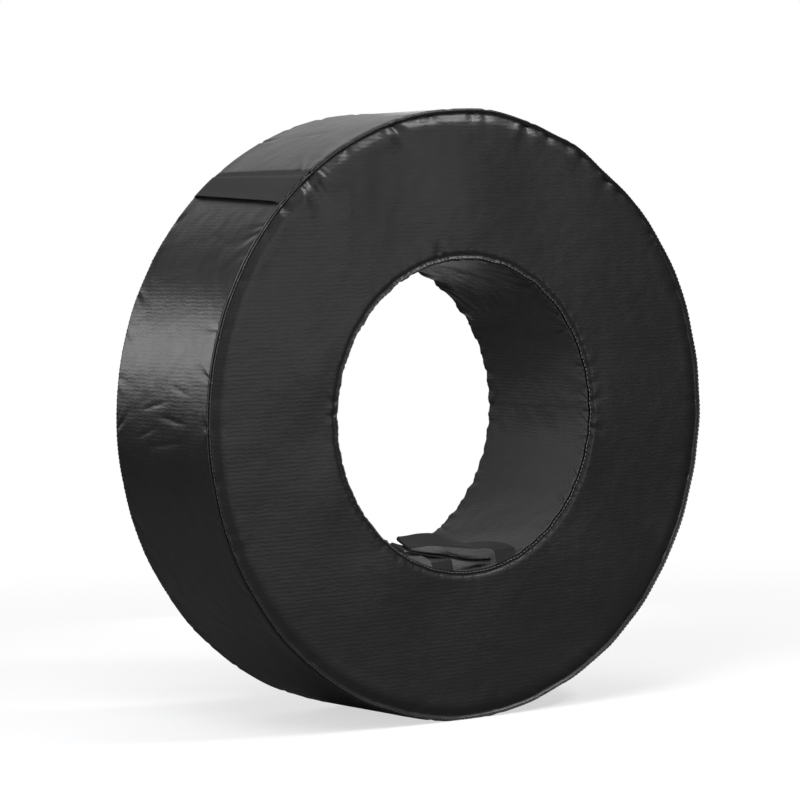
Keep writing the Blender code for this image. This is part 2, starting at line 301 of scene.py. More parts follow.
# How much ribs, crossings and wear count in the webbings' weave, shade and roughness
webbing_thread_pitch = 0.7
weave_shares = (0.25, 0.25)
webbing_shade_shares = (0.6, 0.4)
webbing_roughness = 0.85
wear_spread = 0.08

# How deep the webbing, the tapes, the thread's twist and the foam's cells are
webbing_depth = 0.00025
pile_depth = 0.0006
twist_depth = 0.0002
cell_depth = 0.0010

# How dark and how pale each material gets, as shares of its grey level, and how cool the greys are
# For the vinyls this range holds the painted shade in the ribs' valleys as well as their random tone
vinyl_shades = (0.72, 1.28)
webbing_shades = (0.55, 1.45)
pile_shades = (0.6, 1.5)
thread_shades = (0.6, 1.3)
coolness = 1.03
foam_colours = ((0.70, 0.69, 0.64), (0.82, 0.81, 0.77))

# The floor, with its shade and glow beside the wheel and the greys that the wheel reflects
floor_reach = 14.0
shadow_start = 1.0
shadow_end = 2.4
floor_shade = 0.42
floor_glow = 0.62
floor_greys = (0.05, 0.13)

# The camera stands where the photographer's did, with its turns in degrees
camera_place = (-3.1051, -4.3220, 0.3136)
camera_turns = (-35.425, -3.164, 1.191)
focal_length = 157.29
sensor_width = 36

# Lamps: place, what it looks at, width and height, power
lamps = {
    "key": ((-1.35, -1.05, 1.65), (-0.1, -0.1, 0.0), (1.3, 1.3), 36),
    "front": ((1.5, -2.1, 1.55), (0.0, -0.1, 0.1), (1.0, 0.9), 2.5),
    "rim": ((1.5, -1.95, 2.35), (0.0, -0.1, 0.4), (0.5, 0.5), 42),
    "side": ((1.05, -2.75, 0.22), (0.0, -0.1, 0.0), (1.1, 0.8), 6.6),
    "edge": ((-2.1, -1.45, 0.40), (-0.3, -0.1, 0.2), (0.35, 1.3), 16),
    "back_left": ((-1.25, 1.30, 0.47), (-0.43, 0.0, 0.11), (0.66, 0.50), 4.4),
    "back": ((1.1, 2.6, 1.75), (0.0, 0.0, 0.1), (3.6, 1.6), 13.5),
    "bore": ((0.75, 1.2, -0.27), (0.05, 0.0, 0.22), (0.8, 0.3), 1.6),
    "back_right": ((1.51, 1.72, 0.86), (0.0, 0.0, -0.2), (0.6, 0.5), 2.2),
    "top": ((0.2, -0.3, 2.6), (0.0, 0.0, 0.0), (1.5, 1.5), 20),
}
surround_light = 0.12

# The random numbers, and the phases of the waves
random = np.random.default_rng(7)
ripple_seed = 3
phases = (0, 7)


def mesh_object(name, points, faces, smooth=True):
    """A mesh object from its points and faces, which are turned outwards."""
    mesh = bpy.data.meshes.new(name)
    mesh.from_pydata(points, [], faces)
    mesh.polygons.foreach_set("use_smooth", [smooth] * len(mesh.polygons))
    work = bmesh.new()
    work.from_mesh(mesh)
    bmesh.ops.recalc_face_normals(work, faces=work.faces)
    work.to_mesh(mesh)
    work.free()
    piece = bpy.data.objects.new(name, mesh)
    bpy.context.scene.collection.objects.link(piece)
    return piece


def tube_faces(rows, columns, closed):
    """The quads of a tube of points that are numbered row by row, and its two ends unless it is
    closed."""
    last = rows if closed else rows - 1
    row, column = np.meshgrid(np.arange(last), np.arange(columns), indexing="ij")
    below = (row + 1) % rows
    beside = (column + 1) % columns
    corners = [
        row * columns + column,
        row * columns + beside,
        below * columns + beside,
        below * columns + column,
    ]
    faces = np.stack(corners, -1).reshape(-1, 4).tolist()
    if not closed:
        faces.append(list(range(columns)))
        faces.append(list(range(last * columns, rows * columns)))
    return faces


def shell(name, outer, inner, closed, cloth):
    """A closed thin piece from grids of its outer and inner points, as (section, place on the
    profile, xyz). Cloth holds the fabric's own two coordinates, in metres, at the outer points,
    and the inner ones take theirs from the point across. A third coordinate, for the shaders, is
    0 on the outer side and 1 on the inner one."""
    loop = np.concatenate([outer, inner[:, ::-1]], 1)
    rows, columns = loop.shape[:2]
    piece = mesh_object(name, loop.reshape(-1, 3), tube_faces(rows, columns, closed))
    outer_count = outer.shape[1]
    across = np.linspace(outer_count - 1, 0, inner.shape[1]).round().astype(int)
    place = np.zeros((rows, columns, 3), np.float32)
    place[:, :outer_count, :2] = cloth
    place[:, outer_count:, :2] = cloth[:, across]
    place[:, outer_count:, 2] = 1
    attribute = piece.data.attributes.new("cloth", "FLOAT_VECTOR", "POINT")
    attribute.data.foreach_set("vector", place.ravel())
    return piece


def lengths_along(profile):
    """The distance of each point of a profile from its first one."""
    steps = np.linalg.norm(np.diff(profile, axis=0), axis=1)
    return np.concatenate([[0], np.cumsum(steps)])


def resample(points):
    """Points along a profile, at fine steps near both ends and coarse ones between."""
    points = np.array(points, float)
    along = lengths_along(points)
    places = [0.0]
    while places[-1] < along[-1]:
        from_end = min(places[-1], along[-1] - places[-1])
        share = min(max((from_end - fine_reach) / (coarse_reach - fine_reach), 0), 1)
        places.append(places[-1] + fine_step + (coarse_step - fine_step) * share)
    places = np.array(places) * (along[-1] / places[-1])
    return np.stack([np.interp(places, along, points[:, axis]) for axis in (0, 1)], 1)


def bend(*corners):
    """Points of a smooth line that starts and ends at its outer corners and bends round the
    ones between."""
    corners = [np.array(corner, float) for corner in corners]
    points = [corners[0]]
    start = corners[0]
    for at in range(1, len(corners) - 1):
        last = at == len(corners) - 2
        end = corners[at + 1] if last else (corners[at] + corners[at + 1]) / 2
        for share in np.linspace(0, 1, bend_points + 1)[1:]:
            one = start + (corners[at] - start) * share
            two = corners[at] + (end - corners[at]) * share
            points.append(one + (two - one) * share)
        start = end
    return points


def turned(profile, angles):
    """Turn a profile of (radius, y) points, or one for each angle, about the wheel's axis."""
    radius, y = profile[..., 0], profile[..., 1]
    turn = angles[:, None]
    x, z = radius * np.cos(turn), radius * np.sin(turn)
    return np.stack([x, np.broadcast_to(y, x.shape), z], -1)


def sides(profile, outwards):
    """Unit vectors square to a profile, on the side that a given (radius, y) way looks to."""
    ahead = np.gradient(profile, axis=0)
    ahead /= np.linalg.norm(ahead, axis=1, keepdims=True)
    square = np.stack([-ahead[:, 1], ahead[:, 0]], -1)
    return square * np.sign(square[len(square) // 2] @ np.array(outwards, float))


def wrapped(angle):
    """An angle brought to within half a turn of nothing."""
    return (angle + np.pi) % (2 * np.pi) - np.pi


def near(distance, length):
    """One close by and nothing beyond a length, with smooth ends."""
    share = np.clip(1 - distance / length, 0, 1)
    return share * share * (3 - 2 * share)


def away(distance, length):
    """Nothing close by and one beyond a length, with smooth ends."""
    return 1 - near(distance, length)


def clear_of_seams(seams, length):
    """Nothing at both seams, from the distances to them, and one beyond a length."""
    return away(seams[0], length) * away(seams[1], length)


def swells(turn, along, height, lowest, highest, count, slant):
    """Slow random swells over a panel that close up round the wheel."""
    total = np.zeros(np.broadcast(turn, along).shape)
    for number in random.integers(lowest, highest, count):
        slope = random.normal(0, slant)
        total += np.sin(number * turn + slope * along + random.uniform(*phases))
    return height * (total / math.sqrt(count / 2))


def fold(turn, radius, from_seam, place, width, length, depth, slant):
    """One gathered fold: a sharp valley that starts at a seam, widens and dies out, with soft
    ridges beside it."""
    spread = width * (fold_root + fold_gain * from_seam / length)
    across = (wrapped(turn - place) * radius - slant * from_seam) / spread
    fading = np.exp(-((from_seam / length) ** 2))
    valley = np.exp(-np.abs(across) ** valley_power)
    ridges = sum(share * np.exp(-((across - at) ** 2)) for at, share in fold_ridges)
    return depth * fading * (ridge_height * ridges - valley)


def folds(turn, radius, from_seam, groups, placed=()):
    """All the folds along one seam: random ones, evenly spread, and those with a place."""
    total = np.zeros(np.broadcast(turn, from_seam).shape)
    for count, widths, lengths, depths, slant in groups:
        for number in range(count):
            place = (number + random.uniform(-fold_stray, fold_stray)) * 2 * np.pi / count
            sizes = [random.uniform(*pair) for pair in (widths, lengths, depths)]
            total += fold(turn, radius, from_seam, place, *sizes, random.normal(0, slant))
    for place, width, length, depth, slant in placed:
        total += fold(turn, radius, from_seam, math.radians(place), width, length, depth, slant)
    return total


def panel_lift(panel, turn, seams, edges, creases=0.0):
    """How far a panel stands out: its swells, its creases and the folds along its edges."""
    lift = swells(turn, seams[0], *swell_sizes[panel]) + creases
    lift *= clear_of_seams(seams, swell_start[panel])
    for edge in edges:
        lift += folds(turn, *edge)
    return lift * clear_of_seams(seams, fold_start[panel])


def clear_of_flap(turn):
    """Nothing under the flap and one elsewhere, with a smooth step between."""
    middle = math.radians(closure_angle) + flap_width / 2 / outer_radius
    distance = np.abs(wrapped(turn - middle)) * outer_radius
    return away(np.maximum(distance - smooth_reach, 0), smooth_fade)


def ripple(turn, lowest, highest, size):
    """Small waves round the wheel, the same ones for every panel that meets in a seam."""
    fixed = np.random.default_rng(ripple_seed)
    total = np.zeros(np.shape(turn))
    for number in fixed.integers(lowest, highest, ripple_count):
        total += size * np.sin(number * turn + fixed.uniform(*phases))
    return total


def rim_lift(turn):
    """How far the rim stands out from a true circle."""
    total = ripple(turn, *rim_ripple)
    for place, width, height in rim_waves:
        off = wrapped(turn - math.radians(place)) / math.radians(width)
        total += height * np.exp(-(off**2))
    return total * clear_of_flap(turn)


def from_seams(profile):
    """Each point's distance along the panel from the seam at the profile's start and from the
    one at its end. The turned-in edges count as nothing."""
    along = lengths_along(profile)[None]
    to_end = along[:, -1:] - along
    return np.maximum(along - seam_allowance, 0), np.maximum(to_end - seam_allowance, 0)


def panel_edge(seam, into_foam, side, corners):
    """A front panel's edge, from its turned-in end to where it lies flat. Into_foam is 1 where a
    larger radius leads into the foam and -1 where a smaller one does, and side is 1 for the
    panel nearer the middle plane and -1 for the face."""
    sewn = np.array([seam[0], -seam[1]]) + np.array([-into_foam, 1]) * (side * layer_gap)
    turned_in = sewn + np.array([into_foam, 1]) * (seam_allowance / math.sqrt(2))
    return bend(turned_in, sewn, *corners)


def face_profile():
    """A face, from the bore's seam out to the tread's. Each edge has a thin ridge at the stitches
    and a valley behind it, and then rises to the flat."""
    bore_edge = panel_edge(bore_seam, 1, -1, face_bore_edge)
    rim_edge = panel_edge(outer_seam, -1, -1, face_rim_edge)
    return resample(bore_edge + rim_edge[::-1])


def band_profile(seam, into_foam, corners):
    """The tread or the lining, from the front seam to the back one."""
    front = panel_edge(seam, into_foam, 1, corners)
    return resample(front + [point * (1, -1) for point in front[::-1]])


def moved_out(profile, rise):
    """A profile for each angle, moved away from the axis by a rise."""
    radius = profile[None, :, 0] + rise
    return np.stack(np.broadcast_arrays(radius, profile[None, :, 1]), -1)


def make_panel(name, profile, outwards, rise, lift, angles, radius=None, closed=True, way=(1, 1)):
    """A sewn panel: its profile turned about the axis, moved away from it by the rise and lifted
    square to itself, with an inner side at the vinyl's thickness. The ground presses it flat. Its
    fabric runs level, or round the wheel at a radius. Way can mirror it to the back."""
    square = sides(profile, outwards) * way
    profile = moved_out(profile, rise) * way
    outer = turned(profile + square * lift[..., None], angles)
    pick = np.unique(np.linspace(0, lift.shape[1] - 1, under_points).round().astype(int))
    under = turned((profile + square * (lift[..., None] - vinyl_thickness))[:, pick], angles)
    outer[..., 2] = np.maximum(outer[..., 2], bottom)
    under[..., 2] = np.maximum(under[..., 2], bottom + vinyl_thickness)
    cloth = outer[..., [0, 2]]
    if radius:
        cloth = np.stack(np.broadcast_arrays(profile[..., 1], angles[:, None] * radius), -1)
    return shell(name, outer, under, closed, cloth)


def band_lift(panel, turn, seams, radius, placed, creases=0.0):
    """How far the tread or the lining stands out, with the placed folds along its front edge."""
    front = (radius, seams[0], fold_sizes[panel], placed)
    back = (radius, seams[1], fold_sizes[panel])
    return panel_lift(panel, turn, seams, (front, back), creases)


def make_face(name, front):
    """One flat ring of matte vinyl, drawn into folds along both seams."""
    profile = face_profile()
    angles = np.linspace(0, 2 * np.pi, outer_sections, endpoint=False)
    turn = angles[:, None]
    from_bore, from_rim = from_seams(profile)
    rim_folds = front_rim_folds if front else ()
    bore_folds = front_bore_folds if front else ()
    edges = [
        (outer_seam[0], from_rim, fold_sizes["face rim"], rim_folds),
        (bore_seam[0], from_bore, fold_sizes["face bore"], bore_folds),
    ]
    lift = panel_lift("face", turn, (from_bore, from_rim), edges)
    way = (1, 1) if front else (1, -1)
    rise = rim_lift(turn) * near(from_rim, face_rim_reach)
    waves = front_bore_ripple if front else back_bore_ripple
    rise = rise + ripple(turn, *waves) * near(from_bore, face_bore_reach)
    return make_panel(name, profile, (0, -1), rise, lift, angles, way=way)


def crease_lift(turn, y):
    """The creases that handling leaves in the tread."""
    total = np.zeros(np.broadcast(turn, y).shape)
    for place, middle, length, width, slant, depth in tread_creases:
        off = wrapped(turn - math.radians(place)) * outer_radius
        across = (off - slant * (y - middle)) / width
        along = (y - middle) / (length / 2)
        total -= depth * np.exp(-np.abs(across) ** valley_power) * np.exp(-(along**4))
    return total


def make_tread():
    """The band of glossy vinyl round the outside. Its two ends lie under the flap."""
    profile = band_profile(outer_seam, -1, tread_edge)
    upper = math.radians(closure_angle)
    lower = upper + tread_end_gap / outer_radius - 2 * np.pi
    angles = np.linspace(lower, upper - layer_gap / outer_radius, outer_sections)
    turn = angles[:, None]
    seams = from_seams(profile)
    creases = crease_lift(turn, profile[None, :, 1])
    lift = band_lift("tread", turn, seams, outer_radius, tread_edge_folds, creases)
    lift = np.where(lift > 0, lift * clear_of_flap(turn), lift)
    lift -= closure_tuck * near((upper - turn) * outer_radius, tuck_length)
    rise = rim_lift(turn) * sum(near(from_seam, tread_rim_reach) for from_seam in seams)
    return make_panel("tread_cover", profile, (1, 0), rise, lift, angles, outer_radius, False)


def make_lining():
    """The thinner band inside the bore, gathered along both seams."""
    profile = band_profile(bore_seam, 1, lining_edge)
    angles = np.linspace(0, 2 * np.pi, bore_sections, endpoint=False)
    turn = angles[:, None]
    seams = from_seams(profile)
    lift = band_lift("lining", turn, seams, bore_radius, front_lining_folds)
    rise = sum(
        ripple(turn, *waves) * near(from_seam, lining_bore_reach)
        for waves, from_seam in zip((front_bore_ripple, back_bore_ripple), seams)
    )
    return make_panel("lining_cover", profile, (-1, 0), rise, lift, angles, bore_radius)


def make_stitches(name, row, way, rise):
    """A row of thread stitches round the wheel, each a short rounded bar. Way is -1 on the front
    and 1 on the back, and rise says how far the seam stands out at an angle."""
    radius, y = row[0], way * row[1]
    count = round(2 * math.pi * radius / stitch_pitch)
    places, widths = np.array(stitch_shape).T
    places = places * stitch_length
    widths = widths * (thread_thickness / 2)
    around = np.linspace(0, 2 * np.pi, stitch_sides, endpoint=False)
    angle = np.arange(count) * 2 * np.pi / count
    reach = radius + random.normal(0, stitch_scatter, count) + rise(angle)
    outwards = np.stack([np.cos(angle), 0 * angle, np.sin(angle)], -1)
    ahead = np.stack([-np.sin(angle), 0 * angle, np.cos(angle)], -1)
    middle = outwards * reach[:, None] + np.array([0, y, 0])
    centres = middle[:, None] + ahead[:, None] * places[:, None]
    rings = outwards[:, None, None] * np.cos(around)[:, None]
    rings = rings + np.array([0, 1, 0]) * np.sin(around)[:, None]
    points = centres[:, :, None] + rings * widths[:, None, None]
    size = len(places) * len(around)
    bar = tube_faces(len(places), len(around), False)
    faces = [[corner + number * size for corner in face] for number in range(count) for face in bar]
    return mesh_object(name, points.reshape(-1, 3), faces)


def make_strip(name, stations, thickness, length):
    """A flat strip across the tread, from distances down from the closure's upper edge, each
    with the height of its underside above the tread."""
    distances, lifts = (np.array(values) for values in zip(*stations))
    even = np.linspace(distances[0], distances[-1], strip_rows)
    fine = np.unique(np.concatenate([even, distances]))
    across = np.linspace(-length / 2, length / 2, strip_columns)
    lift = np.interp(fine, distances, lifts)
    distance = fine * (1 + flap_skew * across[:, None])
    angles = math.radians(closure_angle) + distance / outer_radius
    from_end = flap_length / 2 - np.abs(across)
    raised = 1 - flap_drop_share * near(from_end, flap_drop)[:, None]
    grids = []
    for height in (thickness, 0.0):
        reach = outer_radius + np.where(lift > 0, lift * raised, lift) + height
        x, y = np.broadcast_arrays(reach * np.cos(angles), across[:, None])
        z = reach * np.sin(angles)
        grids.append(np.stack([x, y, z], -1))
    cloth = np.stack(np.meshgrid(across, fine, indexing="ij"), -1)
    return shell(name, grids[0], grids[1], False, cloth)


def make_closure():
    """The flap, the tape on the tread and the tape under the flap that meets it."""
    lift = 3 * layer_gap + 2 * tape_thickness
    flap = make_strip(
        "flap_webbing",
        [
            (layer_gap / 2, -flap_thickness),
            (flap_root, -flap_thickness),
            (step_end, layer_gap),
            (ramp_end, lift),
            (flap_rise_start, lift),
            (flap_width, lift + flap_rise),
        ],
        flap_thickness,
        flap_length,
    )
    start = ramp_end + tape_margin
    end = start + tape_width
    tapes = []
    for name, height in (("loop_pile", layer_gap), ("hook_pile", 2 * layer_gap + tape_thickness)):
        tapes.append(make_strip(name, [(start, height), (end, height)], tape_thickness, tape_length))
    return flap, *tapes


def shares(steps):
    """Even shares from 0 to 1, both included."""
    return [number / steps for number in range(steps + 1)]


def value_at(values, share):
    """What a smooth curve through evenly spaced values reads at a share of its length."""
    place = share * (len(values) - 1)
    at = min(int(place), len(values) - 2)
    part = place - at
    start, end = values[at : at + 2]
    before = values[at - 1] if at > 0 else 2 * start - end
    after = values[at + 2] if at + 2 < len(values) else 2 * end - start
    bending = (2 * before - 5 * start + 4 * end - after) * part**2
    bending += (3 * start - 3 * end + after - before) * part**3
    return start + ((end - before) * part + bending) / 2


def bore_directions(along):
    """To the right along the lining and inwards from it, at a distance from its lowest line."""
    turn = along / bore_radius
    right = Vector((math.cos(turn), 0, math.sin(turn)))
    return right, Vector((-right.z, 0, right.x))


def lying_station(along, depth, height, rise, lean):
    """The middle of the strap and its width's direction, front to back, where it lies flat."""
    right, inwards = bore_directions(along)
    rise, lean = math.radians(rise), math.radians(lean)
    level = right * math.sin(lean) + Vector((0, math.cos(lean), 0))
    width = level * math.cos(rise) + inwards * math.sin(rise)
    front = Vector((0, depth - half_width, 0)) - inwards * (bore_radius - layer_gap - height)
    return front + width * (strap_width / 2), width


def pass_stations(start, end, layout):
    """One pass of the strap along the lining, between two distances along it."""
    depth, heights, rises, leans = layout
    stations = []
    for share in shares(math.ceil(abs(end - start) / strap_step)):
        along = start + share * (end - start)
        values = [value_at(row, share) for row in (heights, rises, leans)]
        stations.append(lying_station(along, depth, *values))
    return stations


def turn_stations(one, two, outwards):
    """The half turn from the end of one pass to the start of the next one above it."""
    centre = (one[0] + two[0]) / 2
    arm = one[0] - centre
    stations = []
    for share in shares(turn_points + 1)[1:-1]:
        turn = math.pi * share
        round_it = arm * math.cos(turn) + outwards * (arm.length * math.sin(turn))
        stations.append((centre + round_it, one[1].lerp(two[1], share).normalized()))
    return stations


def twist_stations(folded, flat, right):
    """The quarter twist from a fold line to where the strap lies flat beside it."""
    half = strap_width / 2
    fold_front = folded[0] - folded[1] * half
    flat_front = flat[0] - flat[1] * half
    corner = flat_front + right * (fold_front - flat_front).dot(right)
    stations = []
    for share in shares(twist_points + 1)[1:-1]:
        heading = math.pi / 2 * math.cos(math.pi / 2 * share)
        width = (folded[1] * math.sin(heading) + flat[1] * math.cos(heading)).normalized()
        front = fold_front.lerp(corner, share).lerp(corner.lerp(flat_front, share), share)
        stations.append((front + width * half, width))
    return stations


def sewn_station(angle):
    """Where a strap end comes out of the front bore seam, at an angle from the bottom."""
    reach = math.sqrt((bore_seam[0] - 2 * layer_gap) ** 2 - (strap_width / 2) ** 2)
    turn = math.radians(angle)
    width = Vector((math.cos(turn), 0, math.sin(turn)))
    return Vector((reach * width.z, -bore_seam[1] - sewn_stand_off, -reach * width.x)), width


def fold_stations():
    """The strap on its fold line, above its left sewn end and above its right one."""
    middles = []
    for angle, rise in zip(sewn_angles, fold_rises):
        sewn = sewn_station(angle)[0]
        middles.append(Vector((sewn.x, fold_depth - half_width, sewn.z + rise)))
    width = (middles[1] - middles[0]).normalized()
    return [(middle, width) for middle in middles]


def strap_stations():
    """The whole folded strap, from its left fold to its right one."""
    left, right = fold_stations()
    fronts = [middle - width * (strap_width / 2) for middle, width in (left, right)]
    alongs = [bore_radius * math.atan2(front.x, -front.z) for front in fronts]
    start = alongs[0] - twist_runs[0]
    end = alongs[1] - twist_runs[1]
    turns = (start,) + strap_turns + (end,)
    passes = [
        pass_stations(turns[at], turns[at + 1], layout)
        for at, layout in enumerate(strap_passes)
    ]
    stations = [left] + twist_stations(left, passes[0][0], bore_directions(start)[0])
    for at, lying in enumerate(passes):
        if at > 0:
            onwards = math.copysign(1, turns[at] - turns[at - 1])
            outwards = bore_directions(turns[at])[0] * onwards
            stations += turn_stations(stations[-1], lying[0], outwards)
        stations += lying
    last_twist = twist_stations(right, stations[-1], bore_directions(end)[0])
    return stations + last_twist[::-1] + [right]


def make_ribbon(name, stations):
    """Webbing along its stations, with rounded edges."""
    middles, widths = (np.array(values) for values in zip(*stations))
    ahead = np.gradient(middles, axis=0)
    square = np.cross(ahead, widths)
    square /= np.linalg.norm(square, axis=1, keepdims=True)
    across = np.sin(np.linspace(-np.pi / 2, np.pi / 2, ribbon_points))
    fullness = np.sqrt(np.clip(1 - np.abs(across) ** edge_power, edge_thickness**2, 1))
    half = strap_thickness / 2 * fullness
    flat = middles[:, None] + widths[:, None] * (across[:, None] * strap_width / 2)
    rise = square[:, None] * half[:, None]
    along = lengths_along(middles)
    cloth = np.stack(np.meshgrid(along, across * strap_width / 2, indexing="ij"), -1)
    return shell(name, flat + rise, flat - rise, False, cloth)


def make_strap():
    """The folded strap, and its two ends that stand on the seam."""
    stations = strap_stations()
    pieces = [make_ribbon("strap_webbing", stations)]
    tops = (stations[0], stations[-1])
    for name, angle, top in zip(("strap_root_left", "strap_root_right"), sewn_angles, tops):
        low = sewn_station(angle)
        rows = [
            (low[0].lerp(top[0], share), low[1].lerp(top[1], share).normalized())
            for share in shares(root_steps)
        ]
        pieces.append(make_ribbon(name, rows))
    return pieces


def make_core():
    """The foam planks, glued into one block with its corners eased."""
    inner = bore_radius + core_from_lining
    outer = outer_radius - core_inset
    half = half_width - core_inset
    pitch = 2 * half / plank_count
    angles = np.linspace(0, 2 * np.pi, core_sections, endpoint=False)
    planks = []
    for number in range(plank_count):
        low = -half + number * pitch
        high = low + pitch - layer_gap
        low_ease = core_ease if number == 0 else plank_ease
        high_ease = core_ease if number == plank_count - 1 else plank_ease
        profile = np.array(
            [
                (inner, low + low_ease),
                (inner, high - high_ease),
                (inner + high_ease, high),
                (outer - high_ease, high),
                (outer, high - high_ease),
                (outer, low + low_ease),
                (outer - low_ease, low),
                (inner + low_ease, low),
            ]
        )
        loop = turned(profile, angles)
        faces = tube_faces(len(angles), len(profile), True)
        planks.append(mesh_object(f"foam_plank_{number + 1}", loop.reshape(-1, 3), faces, False))
    return planks


class Paint:
    """A short way to write a material's nodes."""

    def __init__(self, name):
        self.material = bpy.data.materials.new(name)
        self.material.use_nodes = True
        self.tree = self.material.node_tree
        self.shader = self.tree.nodes["Principled BSDF"]

    def put(self, socket, value):
        """Set a socket's value, or link it to another node's output."""
        if isinstance(value, bpy.types.NodeSocket):
            self.tree.links.new(value, socket)
        else:
            socket.default_value = value

    def add(self, kind, inputs=None, **settings):
        """A node with its settings and its inputs."""
        node = self.tree.nodes.new("ShaderNode" + kind)
        for key, value in settings.items():
            setattr(node, key, value)
        for key, value in (inputs or {}).items():
            self.put(node.inputs[key], value)
        return node

    def finish(self, **inputs):
        """Set the shader's own sockets."""
        for key, value in inputs.items():
            self.put(self.shader.inputs[key.replace("_", " ")], value)
        return self.material

    def calculate(self, operation, *values):
        """The result of an operation on values or outputs."""
        node = self.add("Math", operation=operation)
        for socket, value in zip(node.inputs, values):
            self.put(socket, value)
        return node.outputs[0]

    def blend(self, one, other, weights):
        """The sum of two values, each times its weight."""
        added = self.calculate("MULTIPLY", other, weights[1])
        return self.calculate("MULTIPLY_ADD", one, weights[0], added)

    def wave(self, distance, pitch, phase=0.0):
        """A wave from -1 to 1, by its pitch over a distance."""
        angle = self.calculate("MULTIPLY_ADD", distance, 2 * math.pi / pitch, phase)
        return self.calculate("SINE", angle)

    def cloth(self):
        """The fabric's own coordinates, in metres."""
        return self.add("Attribute", attribute_name="cloth").outputs["Vector"]

    def noise(self, vector, scale=1.0, detail=2.0, roughness=0.5):
        """Smooth noise from 0 to 1."""
        inputs = {"Vector": vector, "Scale": scale, "Detail": detail, "Roughness": roughness}
        return self.add("TexNoise", inputs).outputs["Fac"]

    def pattern(self, vector, scales, detail=1.0):
        """Smooth noise from 0 to 1 that is scaled differently along and across."""
        inputs = {"Vector": vector, "Scale": (*scales, 1)}
        return self.noise(self.add("Mapping", inputs).outputs[0], detail=detail)

    def between(self, share, low, high):
        """A value between two, by a share from 0 to 1."""
        return self.add("MapRange", {"Value": share, "To Min": low, "To Max": high}).outputs[0]

    def tint(self, share, low, high):
        """A colour between two, by a share from 0 to 1."""
        ramp = self.add("ValToRGB", {"Fac": share})
        for stop, colour in zip(ramp.color_ramp.elements, (low, high)):
            stop.color = (*colour, 1)
        return ramp.outputs["Color"]

    def shade(self, share, level, shades):
        """A grey between two shares of its level, by a share from 0 to 1."""
        darkest, palest = shades
        return self.tint(share, grey(level * darkest), grey(level * palest))

    def bump(self, height, distance, below=None):
        """A bump of a height in metres, on top of another one."""
        inputs = {"Height": height, "Distance": distance}
        if below is not None:
            inputs["Normal"] = below
        return self.add("Bump", inputs).outputs[0]


def grey(level):
    """A neutral colour, very slightly cool."""
    return (level, level, level * coolness)


def vinyl(name, level, roughness, gloss, rib_pitch, rib_height, dent_depth):
    """Coated vinyl: short ribs that its woven backing presses through, a fine grain, soft dents, and a
    little unevenness in colour and gloss. The colour is also painted darker in the ribs' valleys, as
    shade."""
    paint = Paint(name)
    cloth = paint.cloth()
    across = paint.add("SeparateXYZ", {"Vector": cloth}).outputs["Y"]
    phase = paint.calculate("MULTIPLY", paint.pattern(cloth, rib_wander_pattern), rib_wander)
    rib = paint.wave(across, rib_pitch, phase)
    ribs = paint.calculate("MULTIPLY", rib, paint.pattern(cloth, rib_fade_pattern))
    height = paint.blend(ribs, paint.pattern(cloth, streak_pattern), height_shares)
    grain = paint.pattern(cloth, grain_pattern, detail=2.0)
    cloudy = paint.noise(cloth, scale=14, detail=3.0, roughness=0.65)
    dents = paint.bump(paint.noise(cloth, scale=30, detail=1.0), dent_depth)
    # Colour: painted shade in the ribs' valleys, mixed with random tone from the clouds
    share = paint.blend(height, cloudy, rib_shade_and_tone_shares)
    return paint.finish(
        Base_Color=paint.shade(share, level, vinyl_shades),
        Roughness=paint.between(cloudy, roughness - gloss_spread, roughness + gloss_spread),
        Specular_IOR_Level=gloss,
        Normal=paint.bump(grain, grain_depth, paint.bump(height, rib_height, dents)),
    )


def webbing(name, level, inner_roughness, rib_pitch):
    """Woven webbing: ribs across its length, crossed by its threads, with two sides that can
    differ in gloss."""
    paint = Paint(name)
    cloth = paint.cloth()
    split = paint.add("SeparateXYZ", {"Vector": cloth})
    rib = paint.wave(split.outputs["X"], rib_pitch)
    across = paint.wave(split.outputs["Y"], rib_pitch * webbing_thread_pitch)
    crossing = paint.calculate("MULTIPLY", rib, across)
    weave = paint.calculate("ADD", paint.blend(rib, crossing, weave_shares), 0.5)
    worn = paint.noise(cloth, scale=70, detail=3.0, roughness=0.6)
    share = paint.blend(weave, worn, webbing_shade_shares)
    dull = paint.between(split.outputs["Z"], webbing_roughness, inner_roughness)
    least = paint.calculate("SUBTRACT", dull, wear_spread)
    return paint.finish(
        Base_Color=paint.shade(share, level, webbing_shades),
        Roughness=paint.calculate("MULTIPLY_ADD", worn, 2 * wear_spread, least),
        Normal=paint.bump(weave, webbing_depth),
    )


def pile(name, level, tuft_size):
    """The hooks or loops of a closure tape."""
    paint = Paint(name)
    cloth = paint.cloth()
    tufts = paint.add("TexVoronoi", {"Vector": cloth, "Scale": 1 / tuft_size}).outputs["Distance"]
    return paint.finish(
        Base_Color=paint.shade(paint.noise(cloth, scale=250, detail=3.0), level, pile_shades),
        Roughness=0.95,
        Sheen_Weight=0.3,
        Normal=paint.bump(tufts, pile_depth),
    )


def thread(name, level):
    """Twisted polyester thread."""
    paint = Paint(name)
    twist = paint.noise(paint.add("TexCoord").outputs["Object"], scale=1500)
    return paint.finish(
        Base_Color=paint.shade(twist, level, thread_shades),
        Roughness=0.6,
        Normal=paint.bump(twist, twist_depth),
    )


def foam(name):
    """Pale open-cell foam."""
    paint = Paint(name)
    place = paint.add("TexCoord").outputs["Object"]
    cells = paint.add("TexVoronoi", {"Vector": place, "Scale": 420.0}).outputs["Distance"]
    return paint.finish(
        Base_Color=paint.tint(paint.noise(place, scale=12, detail=3.0), *foam_colours),
        Roughness=0.95,
        Normal=paint.bump(cells, cell_depth),
    )


def dress(piece, material, body, slot, *nodes):
    """Give a piece its material and its body, and say which nodes it stands for."""
    piece.data.materials.append(material)
    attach(piece, body)
    if nodes:
        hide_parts(*nodes)


def make_foam():
    """The foam core. Returns its planks."""
    material = foam("pale_foam")
    planks = make_core()
    for number, plank in enumerate(planks):
        dress(plank, material, "wheel", "foam", f"foam_slab_{number + 1}")
    return planks


